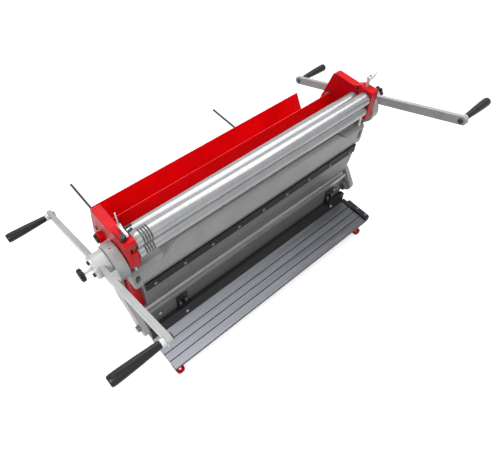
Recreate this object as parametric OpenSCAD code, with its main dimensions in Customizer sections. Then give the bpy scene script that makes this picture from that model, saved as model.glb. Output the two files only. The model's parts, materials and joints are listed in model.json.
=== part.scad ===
// Combination sheet metal machine: shear, press brake and slip roll between two end frames.
// Millimetres. Origin: centre of the four floor bolts, on the floor. X runs along the machine,
// the operator stands on the -Y side, +Z is up. Left means -X.
// Pieces that both ends share are drawn for the +X end and mirrored.

/* [Main sizes] */
// Clear width between the end frames
clear_w = 1056; // [700:1:1300]
// Thickness of an end frame
frame_t = 33; // [30:0.5:42]
// Height of the roll heads above the floor
head_h = 766; // [700:1:860]
// Height of the table surface
table_h = 89; // [78:0.5:100]

/* [End frames] */
// Thickness of the heads ahead of the roll bearings
front_wall = 9; // [7:0.5:14]
// How far the heads stand proud of the frames' inner faces
head_pad = 5; // [2:0.5:6]
// Drop from the heads' top to the rear hump's top
hump_drop = 18; // [12:0.5:26]
// Where the hump ends behind the origin
hump_rear = 156; // [140:1:175]
// Where the rear edge bulges most, behind the origin
frame_rear = 203; // [190:1:230]
// Where the machined front edge stands behind the origin
front_y = 20; // [18:0.5:24]
// Length of a foot, front to back
foot_len = 370; // [340:1:420]
// Width of a foot
foot_w = 35; // [30:1:44]
// Thickness of the foot pads
foot_t = 15; // [10:1:20]
// Distance of a floor bolt from the foot's end
bolt_inset = 17; // [14:0.5:22]
// Diameter of the floor bolt holes
bolt_hole_d = 13; // [9:0.5:15]

/* [Rolls] */
// Diameter of the three rolls
roll_d = 53; // [46:0.5:58]
// Depth of the upper roll's axis below the heads' top
roll_drop = 38; // [34:0.5:46]
// How far the front rolls' axes stand ahead of the origin
roll_reach = 15; // [12:0.5:17]
// Diameter of the roll journals
journal_d = 26; // [20:0.5:30]
// Number of wire grooves at the left end
groove_count = 4; // [1:1:6]
// Radius of a wire groove
groove_r = 3; // [1.5:0.1:4]

/* [Crank and gears] */
// Diameter of the crank shaft
shaft_d = 30; // [24:0.5:34]
// Gear module
gear_m = 2; // [1.95:0.01:2.08]
// Teeth on the lower roll's pinion
pinion_z = 21; // [20:1:22]
// Teeth on the crank shaft's gear
wheel_z = 26; // [25:1:27]
// Face width of the gears
gear_w = 12; // [9:0.5:14]
// Distance from the crank axis to a grip
crank_r = 407; // [250:1:450]
// Height of a crank bar's section
bar_h = 34; // [28:0.5:40]
// Thickness of a crank bar
bar_t = 16; // [12:0.5:20]
// Tilt of the left crank bar, front end up
left_tilt = 20; // [0:1:60]
// Tilt of the right crank bar, front end up
right_tilt = 20; // [0:1:60]
// Diameter of the crank hubs
hub_d = 80; // [72:0.5:92]
// Length of a grip
grip_len = 142; // [110:1:170]
// Largest diameter of a grip
grip_d = 33; // [27:0.5:40]
// Diameter of the clutch knobs
knob_d = 48; // [38:0.5:60]

/* [Press drive] */
// Offset of the eccentrics from the crank axis
ecc = 16; // [12:0.5:19]
// Diameter of the eccentric sheaves
sheave_d = 88; // [80:0.5:100]
// Outer diameter of the connecting rods' straps
strap_d = 126; // [114:0.5:146]
// Width of a strap along the shaft
strap_w = 36; // [28:0.5:42]
// Thickness of a connecting rod's shank
shank_t = 22; // [16:0.5:26]
// Height of the ram pins above the hold-down bar
pin_rise = 35.7; // [31:0.1:42]
// Diameter of the ram pins
pin_d = 16; // [13:0.5:19]

/* [Beam and punch] */
// Gap between the lower roll and the beam's front upper edge
beam_clear = 32.5; // [26:0.5:40]
// Drop from the beam's front upper edge to its stepped ends
boss_step = 27; // [20:0.5:34]
// Height of the beam's front face
face_h = 118; // [100:0.5:140]
// How far the beam's front face reaches ahead of the origin
beam_reach = 27; // [24:0.5:34]
// Height of the clamp strip
strip_h = 41; // [34:0.5:50]
// Thickness of the clamp strip
strip_t = 7; // [5:0.5:10]
// Number of clamp screws
screw_count = 9; // [4:1:12]
// Thickness of the punch plates at their tongue
plate_t = 14; // [11:0.5:17]
// Gap between punch and die, at rest
throat_h = 19; // [14:0.5:24]

/* [Ram, die and shear] */
// Height of the ram with its die
ram_h = 193; // [165:1:230]
// Width of the bending die
die_w = 24; // [20:0.5:28]
// Depth of the die's groove
die_groove = 8; // [5:0.5:9]
// How far the ram's front face reaches ahead of the origin
ram_reach = 14; // [12:0.5:17]
// Thickness of the lower shear blade
blade_t = 12; // [9:0.5:15]
// Height of the upper shear blade
blade_h = 38; // [30:0.5:46]
// Height of the hold-down bar
hold_h = 80; // [66:0.5:94]
// Thickness of the hold-down bar
hold_t = 16; // [13:0.5:19]
// Depth of the table, front edge to blade
table_d = 160; // [130:0.5:200]
// Thickness of the table
table_t = 14; // [11:0.5:18]

/* [Tray and gauge] */
// Outer width of the tray's floor
tray_w = 202; // [160:1:220]
// Height of the tray's walls
tray_wall_h = 100; // [80:1:115]
// Thickness of the tray's sheet
tray_t = 3; // [1.5:0.1:4]
// Tilt of the tray towards the back
tray_tilt = 31; // [24:1:38]
// Diameter of the gauge rods
rod_d = 12; // [9:0.5:15]
// How far the gauge rods reach behind the origin
rod_reach = 819; // [560:1:950]
// Distance of the gauge rods from the end frames
rod_inset = 100; // [80:1:240]

/* [Hidden] */

$fn = 72;
// Radial running clearance of shafts, pins and journals
fit = 0.05;
// Clearance between flat faces of pieces that move past each other
gap = 0.3;
// Overrun of every cut past the face it starts from
over = 1;
// Clearance of a bolt's shank in its hole
shank_gap = 0.1;

// Places along the machine
in_x = clear_w / 2;
out_x = in_x + frame_t;
head_in_x = in_x - head_pad;
strap_gap = 3;
strap_x = out_x + strap_gap;
strap_out_x = strap_x + strap_w;
hub_gap = 1;
hub_x = strap_out_x + hub_gap;
// Seat of the hub on the shaft's end
hub_seat = 21;
bar_x = hub_x + hub_seat;
bar_out_x = bar_x + bar_t;
// Rim of the hub past the bar
hub_rim = 7;
hub_out_x = bar_out_x + hub_rim;
cap_t = 6;
cap_out_x = hub_out_x + cap_t;

// Axes of the rolls
roll_r = roll_d / 2;
journal_r = journal_d / 2;
roll_h = head_h - roll_drop;
// Gap between the two front rolls, and from them to the rear roll
front_nip = 1;
rear_nip = 2;
roll_pitch = roll_d + front_nip;
low_roll_h = roll_h - roll_pitch;
rear_roll_h = (roll_h + low_roll_h) / 2;
rear_roll_y = sqrt(pow(roll_d + rear_nip, 2) - pow(roll_pitch / 2, 2)) - roll_reach;
// Clearance of a roll's end face from the head
roll_end_gap = 3;
roll_half = head_in_x - roll_end_gap;

// Crank axis, at the gears' centre distance from the lower roll
shaft_r = shaft_d / 2;
shaft_drop = 19;
gear_c = gear_m * (pinion_z + wheel_z) / 2;
shaft_y = sqrt(pow(gear_c, 2) - pow(shaft_drop, 2)) - roll_reach;
shaft_z = low_roll_h - shaft_drop;
mesh_angle = atan2(shaft_drop, -roll_reach - shaft_y);

// Recess of the roll bearings in the heads
block_wall = 5;
slot_r = journal_r + block_wall;
slot_wall = 9;
slot_depth = frame_t - slot_wall;
slot_spare = 6;
slot_low_z = low_roll_h - 2 * slot_spare;
slot_top_z = roll_h + slot_spare;
head_floor = 6;
head_reach = roll_reach + slot_r + front_wall;
head_under_h = slot_low_z - slot_r - head_floor;

// End frame
base_top = table_h - table_t;
base_in_x = in_x - frame_t / 3;
foot_mid_x = base_in_x + foot_w / 2;
foot_y = foot_len / 2;
bolt_y = foot_y - bolt_inset;
foot_round = 13;
hump_h = head_h - hump_drop;
bulge_drop = 158;
bulge_h = hump_h - bulge_drop;
bulge_r = 80;
hump_corner_r = 18;
web_rear_y = 150;
// Inner ends of the foot pads and height of the arch between them
pad_len = 45;
arch_h = 34;
arch_slope = 22;
pad_r = 10;
// Riser between head and hump
riser_y = 50;
head_top_rear = 21;
riser_r = 10;
edge_r = 5;
under_r = 12;
// Boss round the crank shaft
boss_wall = 6;
wheel_tip_r = gear_m * (wheel_z / 2 + 1);
pinion_tip_r = gear_m * (pinion_z / 2 + 1);
pocket_gap = 1.5;
boss_r = wheel_tip_r + pocket_gap + boss_wall;
bush_t = 3;
// Pivot boss on the outer side
pivot_y = 136;
pivot_drop = 122;
pivot_z = hump_h - pivot_drop;
pivot_r = 19;
pivot_len = 16;
pivot_cap_t = 6;
pivot_cap_r = 16;

// Hold-down bar and shear line
shear_back = 0.7;
shear_y = -ram_reach - shear_back;
hold_low = table_h + gap;
hold_top = hold_low + hold_h;
hold_stand = 2;
hold_back = -ram_reach - hold_stand;
hold_front = hold_back - hold_t;
hold_end = 3;
hold_half = out_x - hold_end;
blade_lap = 5;
upper_blade_low = table_h - blade_lap;
upper_blade_top = upper_blade_low + blade_h;
upper_blade_t = 12.5;
lower_blade_back = shear_y - gap;
lower_blade_front = lower_blade_back - blade_t;
table_front = lower_blade_front - table_d;
table_end = 1;
table_half = out_x - table_end;

// Ram pins, under the eccentrics
strap_r = strap_d / 2;
sheave_r = sheave_d / 2;
ecc_angle = 225;
sheave_y = shaft_y + ecc * cos(ecc_angle);
sheave_z = shaft_z + ecc * sin(ecc_angle);
pin_r = pin_d / 2;
pin_y = -10;
pin_h = hold_top + pin_rise;
// Sideways travel of the ram pin while the eccentric turns a quarter
pin_travel = ecc * (1 - cos(ecc_angle - 180));
pin_play = 0.9;
lug_hole_r = pin_r + pin_travel / 2 + pin_play;
lug_wall = 12.5;
ram_lug_r = lug_hole_r + lug_wall;
lug_y = pin_y - pin_travel / 2;
eye_r = 38;
// Ram lug and connecting rod stand side by side
rod_gap = 1.5;
lug_out_x = strap_x;
rod_x = strap_x + rod_gap;
rod_out_x = rod_x + shank_t;

// Ram
ram_over = 13;
ram_half = in_x + ram_over;
ram_back = front_y - gap;
blade_seat = 16;
ram_low = upper_blade_low + blade_seat;
die_h = ram_low + ram_h;
die_y = -7;
die_front = die_y - die_w / 2;
die_seat = 22;
die_low = die_h - die_seat;
die_stand = 10;
ram_top = die_h - die_stand;

// Beam, strip and plates
beam_over = 2;
beam_half = out_x + beam_over;
beam_top_h = low_roll_h - roll_r - beam_clear;
boss_top_h = beam_top_h - boss_step;
strip_top_h = beam_top_h - face_h;
strip_seat = 4;
beam_low = strip_top_h - strip_seat;
strip_low = strip_top_h - strip_h;
lip_drop = 5;
lip_low = strip_low - lip_drop;
punch_h = die_h + throat_h;
tongue_y = plate_t - beam_reach;
// Stepped end of the beam and the ramp above it
boss_w = 129;
ramp_w = 36;
beam_round = 18;
beam_end_r = 13;
// Wall and rib of the cast pockets behind the beam and the ram
pocket_wall = 12;
pocket_r = 8;
beam_bolt_x = in_x + 5 / 11 * frame_t;
beam_bolt_z = (boss_top_h + beam_low) / 2;
bolt_pocket_r = 8;
bolt_pocket_h = 44;
bolt_pocket_d = 20;
plate_over = 5;
plate_half = in_x + plate_over;
strip_over = 1;
strip_half = in_x + strip_over;
screw_z = strip_low + strip_h / 2;
screw_r = 4;
screw_head_r = 6;
screw_head_h = 4;
// Place of the end screws from the strip's ends, in shares of the pitch
screw_end_share = 0.3;
screw_step = 2 * strip_half / (screw_count - 1 + 2 * screw_end_share);

echo(shaft = [shaft_y, shaft_z], sheave = [sheave_y, sheave_z], rear_roll = [rear_roll_y, rear_roll_h]);
echo(ram_pin = [pin_y, pin_h], lever = [link_x - link_t / 2, notch_y, lever_z],
    cam = [stud_x, stud_y, cam_z]);

// Solids between two coordinates along an axis

module along_x(x0, x1) {
    translate([x0, 0, 0]) rotate([90, 0, 90]) linear_extrude(x1 - x0) children();
}

module along_y(y0, y1) {
    translate([0, y1, 0]) rotate([90, 0, 0]) linear_extrude(y1 - y0) children();
}

module x_rod(x0, x1, r, y, z) {
    translate([x0, y, z]) rotate([0, 90, 0]) cylinder(h = x1 - x0, r = r);
}

module y_rod(y0, y1, r, x, z) {
    translate([x, y0, z]) rotate([-90, 0, 0]) cylinder(h = y1 - y0, r = r);
}

module z_rod(z0, z1, r, x, y) {
    translate([x, y, z0]) cylinder(h = z1 - z0, r = r);
}

// Box from corner a to corner b
module box(a, b) {
    translate(a) cube(b - a);
}

module both_ends() {
    children();
    mirror([1, 0, 0]) children();
}

// Outline with rounded corners, each vertex given as [across, up, corner radius]
full_turn = 360;
half_turn = full_turn / 2;
function unit2(v) = v / norm(v);
function short_turn(a) = a > half_turn ? a - full_turn : a < -half_turn ? a + full_turn : a;
function corner(p, a, b, r) =
    let (u = unit2(a - p), w = unit2(b - p), half = acos(u * w) / 2)
    let (c = p + unit2(u + w) * r / sin(half), s = p + u * r / tan(half), e = p + w * r / tan(half))
    let (a0 = atan2(s[1] - c[1], s[0] - c[0]), a1 = atan2(e[1] - c[1], e[0] - c[0]))
    let (d = short_turn(a1 - a0), n = max(2, ceil(abs(d) / 10)))
    [for (i = [0:n]) c + r * [cos(a0 + d * i / n), sin(a0 + d * i / n)]];
function flat2(v) = [v[0], v[1]];
function rounded(v) = let (n = len(v)) [for (i = [0:n - 1])
    each v[i][2] > 0
        ? corner(flat2(v[i]), flat2(v[(i + n - 1) % n]), flat2(v[(i + 1) % n]), v[i][2])
        : [flat2(v[i])]];

// Row of cast pockets between ribs, cut forward from the rear face
module pockets(half, count, y0, z0, z1) {
    pitch = (2 * half + pocket_wall) / count;
    for (i = [0:count - 1]) {
        x = i * pitch - half;
        along_y(y0, front_y + over) polygon(rounded([
            [x, z0, pocket_r], [x + pitch - pocket_wall, z0, pocket_r],
            [x + pitch - pocket_wall, z1, pocket_r], [x, z1, pocket_r]]));
    }
}

// Involute gear outline

pressure = 20;
backlash = 0.12;
function inv(k) = sqrt(k * k - 1) * half_turn / PI - atan(sqrt(k * k - 1));
function half_tooth(z, k) = half_turn / 2 / z - backlash / (gear_m * z) * half_turn / PI
    + inv(1 / cos(pressure)) - inv(k);
function at(r, a) = r * [cos(a), sin(a)];
flank_steps = 4;
function gear_outline(z, turn) =
    let (rp = gear_m * z / 2, rb = rp * cos(pressure), ra = rp + gear_m, rf = rp - 1.25 * gear_m)
    let (rs = [for (i = [0:flank_steps]) rb + (ra - rb) * i / flank_steps])
    let (hs = [for (r = rs) half_tooth(z, r / rb)])
    [for (t = [0:z - 1]) let (a = turn + t * full_turn / z) each concat(
        [at(rf, a - hs[0])],
        [for (i = [0:flank_steps]) at(rs[i], a - hs[i])],
        [for (i = [flank_steps:-1:0]) at(rs[i], a + hs[i])],
        [at(rf, a + hs[0])])];

// End frames

// Keeper groove in the frame's inner face
groove_d = 6;
groove_set = 19;
groove_y = front_y + groove_set;
groove_w = 11;

module frame_casting() {
    along_x(in_x, out_x) polygon(rounded([
        [front_y, base_top, 0], [web_rear_y, base_top, 0], [frame_rear, bulge_h, bulge_r],
        [hump_rear, hump_h, hump_corner_r], [riser_y, hump_h, riser_r],
        [head_top_rear, head_h, riser_r], [-head_reach, head_h, edge_r],
        [-head_reach, head_under_h, edge_r], [front_y, head_under_h, under_r]]));
    along_x(head_in_x, in_x + over) polygon(rounded([
        [head_top_rear, head_under_h, edge_r], [head_top_rear, head_h, riser_r],
        [-head_reach, head_h, edge_r], [-head_reach, head_under_h, edge_r]]));
    base_casting();
    x_rod(in_x, out_x, boss_r, shaft_y, shaft_z);
}

module base_casting() intersection() {
    pad_y = foot_y - pad_len;
    along_x(base_in_x, base_in_x + foot_w) polygon(rounded([
        [-foot_y, 0, 0], [-pad_y, 0, 0], [arch_slope - pad_y, arch_h, arch_slope],
        [pad_y - arch_slope, arch_h, arch_slope], [pad_y, 0, 0], [foot_y, 0, 0],
        [foot_y, foot_t, edge_r], [pad_y, foot_t, pad_r], [web_rear_y, base_top, 0],
        [2 * pad_r - web_rear_y, base_top, 0], [-pad_y, foot_t, pad_r],
        [-foot_y, foot_t, edge_r]]));
    linear_extrude(base_top) polygon(rounded([
        [base_in_x, -foot_y, foot_round], [base_in_x + foot_w, -foot_y, foot_round],
        [base_in_x + foot_w, foot_y, foot_round], [base_in_x, foot_y, foot_round]]));
}

module slot_space(depth, r) {
    x_rod(head_in_x - over, in_x + depth, r, -roll_reach, slot_low_z);
    x_rod(head_in_x - over, in_x + depth, r, -roll_reach, slot_top_z);
    box([head_in_x - over, -roll_reach - r, slot_low_z], [in_x + depth, r - roll_reach, slot_top_z]);
}

module frame_cuts() {
    slot_space(slot_depth, slot_r);
    x_rod(head_in_x - over, out_x + over, shaft_r + bush_t, shaft_y, shaft_z);
    x_rod(head_in_x - over, in_x + slot_depth, journal_r + fit, rear_roll_y, rear_roll_h);
    x_rod(in_x - over, out_x + over, tray_bolt_r + shank_gap, tray_bolt_y, tray_bolt_z);
    for (s = [-1, 1])
        z_rod(-over, foot_t + over, bolt_hole_d / 2, foot_mid_x, s * bolt_y);
    groove_top = (keeper_top + strip_low) / 2;
    box([in_x - over, groove_y, base_top + foot_t],
        [in_x + groove_d, groove_y + groove_w, groove_top]);
    y_rod(front_y - over, front_y + beam_bolt_len, beam_bolt_r + shank_gap, beam_bolt_x, beam_bolt_z);
    z_rod(head_under_h - over, slot_low_z, jack_r + shank_gap, jack_x, jack_y);
}

// Window and notch of the release bolt, in the left head only
notch_floor = 3;
notch_r = 9.5;
notch_d = roll_drop - slot_spare - slot_r - notch_floor;
notch_share = 0.636;
notch_x = in_x + notch_share * frame_t;
notch_y = -19;
window_w = 18;
window_h = 25;
window_drop = 57;

module release_cuts() {
    z_rod(head_h - notch_d, head_h + over, notch_r, notch_x, notch_y);
    box([notch_x - notch_r, notch_y, head_h - notch_d],
        [notch_x + notch_r, riser_y - notch_r, head_h + over]);
    box([head_in_x - over, -head_reach - over, head_h - window_drop],
        [in_x + window_w, -roll_reach, head_h - window_drop + window_h]);
}

module right_end_frame() color("firebrick") difference() {
    frame_casting();
    frame_cuts();
    z_rod(head_h - stud_seat, head_h + over, stud_r + shank_gap, stud_x, stud_y);
    x_rod(in_x - over, in_x + pin_seat, head_pin_r + shank_gap, head_pin_y, head_pin_z);
}

module left_end_frame() color("firebrick") mirror([1, 0, 0]) difference() {
    frame_casting();
    frame_cuts();
    release_cuts();
    x_rod(head_in_x - over, in_x + slot_depth, wheel_tip_r + pocket_gap, shaft_y, shaft_z);
    x_rod(head_in_x - over, in_x + slot_depth, pinion_tip_r + pocket_gap, -roll_reach, low_roll_h);
}

module shaft_bushes() color("goldenrod") {
    difference() {
        x_rod(in_x, out_x, shaft_r + bush_t - fit, shaft_y, shaft_z);
        x_rod(in_x - over, out_x + over, shaft_r + fit, shaft_y, shaft_z);
    }
    mirror([1, 0, 0]) difference() {
        x_rod(in_x + slot_depth, out_x, shaft_r + bush_t - fit, shaft_y, shaft_z);
        x_rod(in_x, out_x + over, shaft_r + fit, shaft_y, shaft_z);
    }
}

// Roll bearing blocks in the heads' slots
right_block_in = 4;
left_block_in = 1;
block_gap = 0.15;
block_split = 3;
gear_side_gap = 0.9;
left_block_out = slot_depth - gear_w - 2 * gap - gear_side_gap;

module block_pair(x0, x1) difference() {
    split_z = (roll_h + low_roll_h) / 2;
    intersection() {
        slot_space(slot_depth - block_gap, slot_r - block_gap);
        box([x0, -head_reach, head_under_h], [x1, riser_y, head_h]);
    }
    box([head_in_x - over, -head_reach, split_z - block_split / 2],
        [out_x, riser_y, split_z + block_split / 2]);
    for (z = [roll_h, low_roll_h])
        x_rod(head_in_x - over, out_x, journal_r + fit, -roll_reach, z);
}

module roll_bearing_blocks() color("dimgray") {
    block_pair(head_in_x + right_block_in, in_x + slot_depth);
    mirror([1, 0, 0]) block_pair(head_in_x + left_block_in, in_x + left_block_out);
}

// Turned boss on each end frame's outer face, with its cap
module pivot_caps() color("firebrick") both_ends() {
    x_rod(out_x, out_x + pivot_len, pivot_r, pivot_y, pivot_z);
    x_rod(out_x + pivot_len, out_x + pivot_len + pivot_cap_t, pivot_cap_r, pivot_y, pivot_z);
}

// Top of the left head: release bolt with its swinging lever
bolt_stem_r = 7;
bolt_head_r = 9;
bolt_head_h = 18;
lever_rise = 10;
lever_z = head_h + lever_rise;
lever_pin_r = 3.5;
link_len = 39;
link_t = 8;
link_x = notch_x - bolt_head_r - gap;
link_in_x = link_x - link_t;
link_r = 6;
link_eye_r = 9;
link_eye_over = 2;
handle_r = 2.2;
handle_len = 60;
handle_angle = 86;
// Pegs on the link: one square to it, one swept back
peg_r = 4.2;
square_peg_y = notch_y + 0.64 * link_len;
square_peg_len = 27;
swept_peg_y = notch_y + 0.14 * link_len;
swept_peg_len = 22;
swept_angle = 20;

module release_bolt() color("darkslategray") mirror([1, 0, 0]) difference() {
    union() {
        z_rod(head_h - notch_d, head_h, bolt_stem_r, notch_x, notch_y);
        z_rod(head_h, head_h + bolt_head_h, bolt_head_r, notch_x, notch_y);
    }
    x_rod(link_x, notch_x + bolt_head_r + over, lever_pin_r + shank_gap, notch_y, lever_z);
}

module release_lever() color("silver") mirror([1, 0, 0]) difference() {
    union() {
        x_rod(link_in_x, link_x, link_r, notch_y, lever_z);
        box([link_in_x, notch_y, lever_z - link_r], [link_x, notch_y + link_len, lever_z + link_r]);
        x_rod(link_in_x - link_eye_over, link_x, link_eye_r, notch_y + link_len, lever_z);
        translate([link_x - link_t / 2, notch_y + link_len, lever_z]) rotate([handle_angle - 90, 0, 0])
            cylinder(h = handle_len, r = handle_r);
    }
    x_rod(link_in_x - over, link_x + over, lever_pin_r + fit, notch_y, lever_z);
    x_rod(link_in_x - over, link_x + over, lever_pin_r, square_peg_y, lever_z);
}

module release_peg() color("dimgray") mirror([1, 0, 0]) {
    x_rod(link_in_x, link_x, lever_pin_r - fit, square_peg_y, lever_z);
    x_rod(link_in_x - square_peg_len, link_in_x, peg_r, square_peg_y, lever_z);
    difference() {
        translate([link_in_x, swept_peg_y, lever_z]) rotate([0, 0, -swept_angle])
            x_rod(-swept_peg_len, peg_r, peg_r, 0, 0);
        box([link_in_x, notch_y, lever_z - link_r], [link_x, notch_y + link_len, lever_z + link_r]);
    }
}

// Right head: retaining pin in its inner face, and the lever's pivot pin on the left
pin_seat = 12;
head_pin_r = 5;
head_pin_y = 32;
head_pin_drop = 20;
head_pin_z = head_h - head_pin_drop;
head_pin_len = 7;

module head_pins() color("dimgray") {
    x_rod(in_x - head_pin_len, in_x + pin_seat, head_pin_r, head_pin_y, head_pin_z);
    mirror([1, 0, 0]) x_rod(link_in_x + gap, notch_x + bolt_head_r, lever_pin_r, notch_y, lever_z);
}

// Right head: stud with its cam lever
stud_seat = notch_d;
stud_r = 6;
stud_inset = 17;
stud_x = in_x + stud_inset;
stud_y = 3;
stud_h = 35;
cam_r = 8;
cam_z = head_h + stud_h;
cam_w = 6;
cam_fork = 3;
cam_pin_r = 2.5;
fork_y = cam_w / 2 + gap;
// Leaf of the lever beside its axis: across, up and corner radius in shares of the cam's radius
leaf_shares = [[1.3, -1, 0], [2.5, -1, 0.8], [4, 0.5, 0.8], [4.5, 2, 0.2], [3, 1.75, 0.8], [1.3, 1, 0]];

module cam_stud() color("silver") difference() {
    union() {
        z_rod(head_h - stud_seat, cam_z, stud_r, stud_x, stud_y);
        y_rod(stud_y - cam_w / 2, stud_y + cam_w / 2, stud_r, stud_x, cam_z);
    }
    for (s = [-1, 1])
        translate([stud_x, stud_y + s * (cam_w / 2 + stud_r), cam_z])
            cube([4 * cam_r, 2 * stud_r, 2 * cam_r + 4 * gap], center = true);
    y_rod(stud_y - cam_w, stud_y + cam_w, cam_pin_r + fit, stud_x, cam_z);
}

module cam_lever() color("silver") translate([stud_x, stud_y, cam_z]) {
    for (y = [-fork_y - cam_fork, fork_y]) {
        y_rod(y, y + cam_fork, cam_r, 0, 0);
        along_y(y, y + cam_fork)
            polygon([[0, -cam_r], [1.5 * cam_r, -cam_r], [1.5 * cam_r, cam_r], [0, cam_r]]);
    }
    along_y(-fork_y - cam_fork, fork_y + cam_fork)
        polygon(rounded([for (s = leaf_shares) s * cam_r]));
    y_rod(-fork_y - cam_fork, fork_y + cam_fork, cam_pin_r, 0, 0);
}

// Rolls with wire grooves

groove_pitch = 9;
groove_first = 24;

module grooves() {
    for (i = [0:groove_count - 1])
        translate([groove_first + i * groove_pitch - roll_half, 0, 0]) rotate([0, 90, 0])
            rotate_extrude() translate([roll_r, 0]) circle(r = groove_r, $fn = 24);
}

module roll(y, z, grooved, left_journal) color("lightgray") translate([0, y, z]) difference() {
    union() {
        x_rod(-roll_half, roll_half, roll_r, 0, 0);
        x_rod(-in_x - left_journal, in_x + slot_depth - gap, journal_r, 0, 0);
    }
    if (grooved) grooves();
}

module upper_roll() roll(-roll_reach, roll_h, true, left_block_out);
module lower_roll() roll(-roll_reach, low_roll_h, true, slot_depth - gap);
module rear_roll() roll(rear_roll_y, rear_roll_h, false, slot_depth - gap);

// Gears at the left end, in the frame's pocket
gear_out = in_x + slot_depth - gap;

module gear(z, turn, bore_r, y, up) difference() {
    translate([0, y, up]) along_x(gear_out - gear_w, gear_out) polygon(gear_outline(z, turn));
    x_rod(in_x, out_x, bore_r, y, up);
}

module roll_pinion() color("darkgray") mirror([1, 0, 0])
    gear(pinion_z, mesh_angle + half_turn + half_turn / pinion_z, journal_r + fit, -roll_reach, low_roll_h);

module shaft_gear() color("darkgray") mirror([1, 0, 0])
    gear(wheel_z, mesh_angle, shaft_r + fit, shaft_y, shaft_z);

// Crank shaft, hubs, bars and grips

clutch_r = 5;
clutch_bore_r = 5.4;
clutch_bore_d = 60;
shaft_end = bar_x - gap;

module crank_shaft() color("silver") difference() {
    x_rod(-shaft_end, shaft_end, shaft_r, shaft_y, shaft_z);
    both_ends() x_rod(shaft_end - clutch_bore_d, shaft_end + over, clutch_bore_r, shaft_y, shaft_z);
}

// Moves children drawn about the X axis to one crank, turned by its bar's tilt
module on_crank(side) {
    mirror([side < 0 ? 1 : 0, 0, 0]) translate([0, shaft_y, shaft_z])
        rotate([side < 0 ? -left_tilt : -right_tilt, 0, 0]) children();
}

module on_both_cranks() {
    on_crank(-1) children();
    on_crank(1) children();
}

cap_bolt_r = 4;
cap_bolt_head_r = 7.5;
cap_bolt_head_h = 6;
cap_bolt_len = 16;
cap_bolt_gap = 0.5;
cap_bolt_pitch = bar_h / 2 + cap_bolt_head_r + cap_bolt_gap;
hub_edge = 2;

module crank_hubs() color("gainsboro") on_both_cranks() difference() {
    union() {
        x_rod(hub_x, hub_out_x - hub_edge, hub_d / 2, 0, 0);
        translate([hub_out_x - hub_edge, 0, 0]) rotate([0, 90, 0])
            cylinder(h = hub_edge, r1 = hub_d / 2, r2 = (hub_d - hub_edge) / 2);
    }
    x_rod(hub_x - over, bar_x, shaft_r + fit, 0, 0);
    x_rod(bar_x, hub_out_x + over, clutch_bore_r, 0, 0);
    box([bar_x, -hub_d, -bar_h / 2], [bar_out_x, hub_d, bar_h / 2]);
    for (s = [-1, 1])
        x_rod(hub_out_x - cap_bolt_len, hub_out_x + over, cap_bolt_r + shank_gap, 0, s * cap_bolt_pitch);
}

module hub_caps() color("silver") on_both_cranks() difference() {
    x_rod(hub_out_x, cap_out_x, (hub_d - hub_edge) / 2, 0, 0);
    x_rod(hub_out_x - over, cap_out_x + over, clutch_bore_r, 0, 0);
    for (s = [-1, 1])
        x_rod(hub_out_x - over, cap_out_x + over, cap_bolt_r + shank_gap, 0, s * cap_bolt_pitch);
}

module hub_cap_bolts() color("black") on_both_cranks() for (s = [-1, 1]) {
    x_rod(hub_out_x - cap_bolt_len + gap, cap_out_x, cap_bolt_r, 0, s * cap_bolt_pitch);
    translate([cap_out_x, 0, s * cap_bolt_pitch]) rotate([0, 90, 0])
        cylinder(h = cap_bolt_head_h, r = cap_bolt_head_r, $fn = 6);
}

// Bar past the grip's axis, its cut corners and the grip bolt
bar_over = 19;
bar_chamfer = 9;
grip_bolt_r = 5;
grip_head_r = 10;
grip_head_h = 6;
collar_len = 13;
collar_r = 12;
grip_tail = 12;

module crank_bars() color("gainsboro") on_both_cranks() difference() {
    half = crank_r + bar_over;
    h = bar_h / 2;
    along_x(bar_x, bar_out_x) polygon([
        [-half, bar_chamfer - h], [bar_chamfer - half, -h], [half - bar_chamfer, -h],
        [half, bar_chamfer - h], [half, h - bar_chamfer], [half - bar_chamfer, h],
        [bar_chamfer - half, h], [-half, h - bar_chamfer]]);
    x_rod(bar_x - over, bar_out_x + over, clutch_bore_r, 0, 0);
    for (s = [-1, 1])
        x_rod(bar_x - over, bar_out_x + over, grip_bolt_r + shank_gap, s * crank_r, 0);
}

module grip_bolts() color("darkslategray") on_both_cranks() for (s = [-1, 1]) {
    x_rod(bar_x, bar_out_x + collar_len + grip_len - grip_tail, grip_bolt_r, s * crank_r, 0);
    x_rod(bar_x - grip_head_h, bar_x, grip_head_r, s * crank_r, 0);
}

module grip_collars() color("silver") on_both_cranks() for (s = [-1, 1]) difference() {
    x_rod(bar_out_x, bar_out_x + collar_len, collar_r, s * crank_r, 0);
    x_rod(bar_out_x - over, bar_out_x + collar_len + over, grip_bolt_r + shank_gap, s * crank_r, 0);
}

// Profile of a grip: share of its length, share of its largest radius
grip_shares = [[0, 0.62], [0.03, 0.68], [0.25, 0.78], [0.5, 0.9], [0.75, 0.98], [0.93, 1],
    [0.985, 0.94], [1, 0.8]];

module grip() color("black") difference() {
    rotate([0, 90, 0]) rotate_extrude() polygon(concat([[0, 0]],
        [for (s = grip_shares) [s[1] * grip_d / 2, s[0] * grip_len]], [[0, grip_len]]));
    x_rod(-over, grip_len - grip_tail + gap, grip_bolt_r + fit, 0, 0);
}

module place_grip(side, end) {
    on_crank(side) translate([bar_out_x + collar_len + gap, end * crank_r, 0]) grip();
}

module left_front_grip() place_grip(-1, -1);
module left_rear_grip() place_grip(-1, 1);
module right_front_grip() place_grip(1, -1);
module right_rear_grip() place_grip(1, 1);

// Clutch knobs on their rods
knob_t = 16;
knob_stand = 27;
knob_x = cap_out_x + knob_stand;
lobes = 6;
lobe_r = 6;
lobe_inset = 2;
rod_in = 30;

module clutch_rod() color("silver") {
    x_rod(shaft_end - rod_in, knob_x + knob_t / 2, clutch_r, shaft_y, shaft_z);
}

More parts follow.
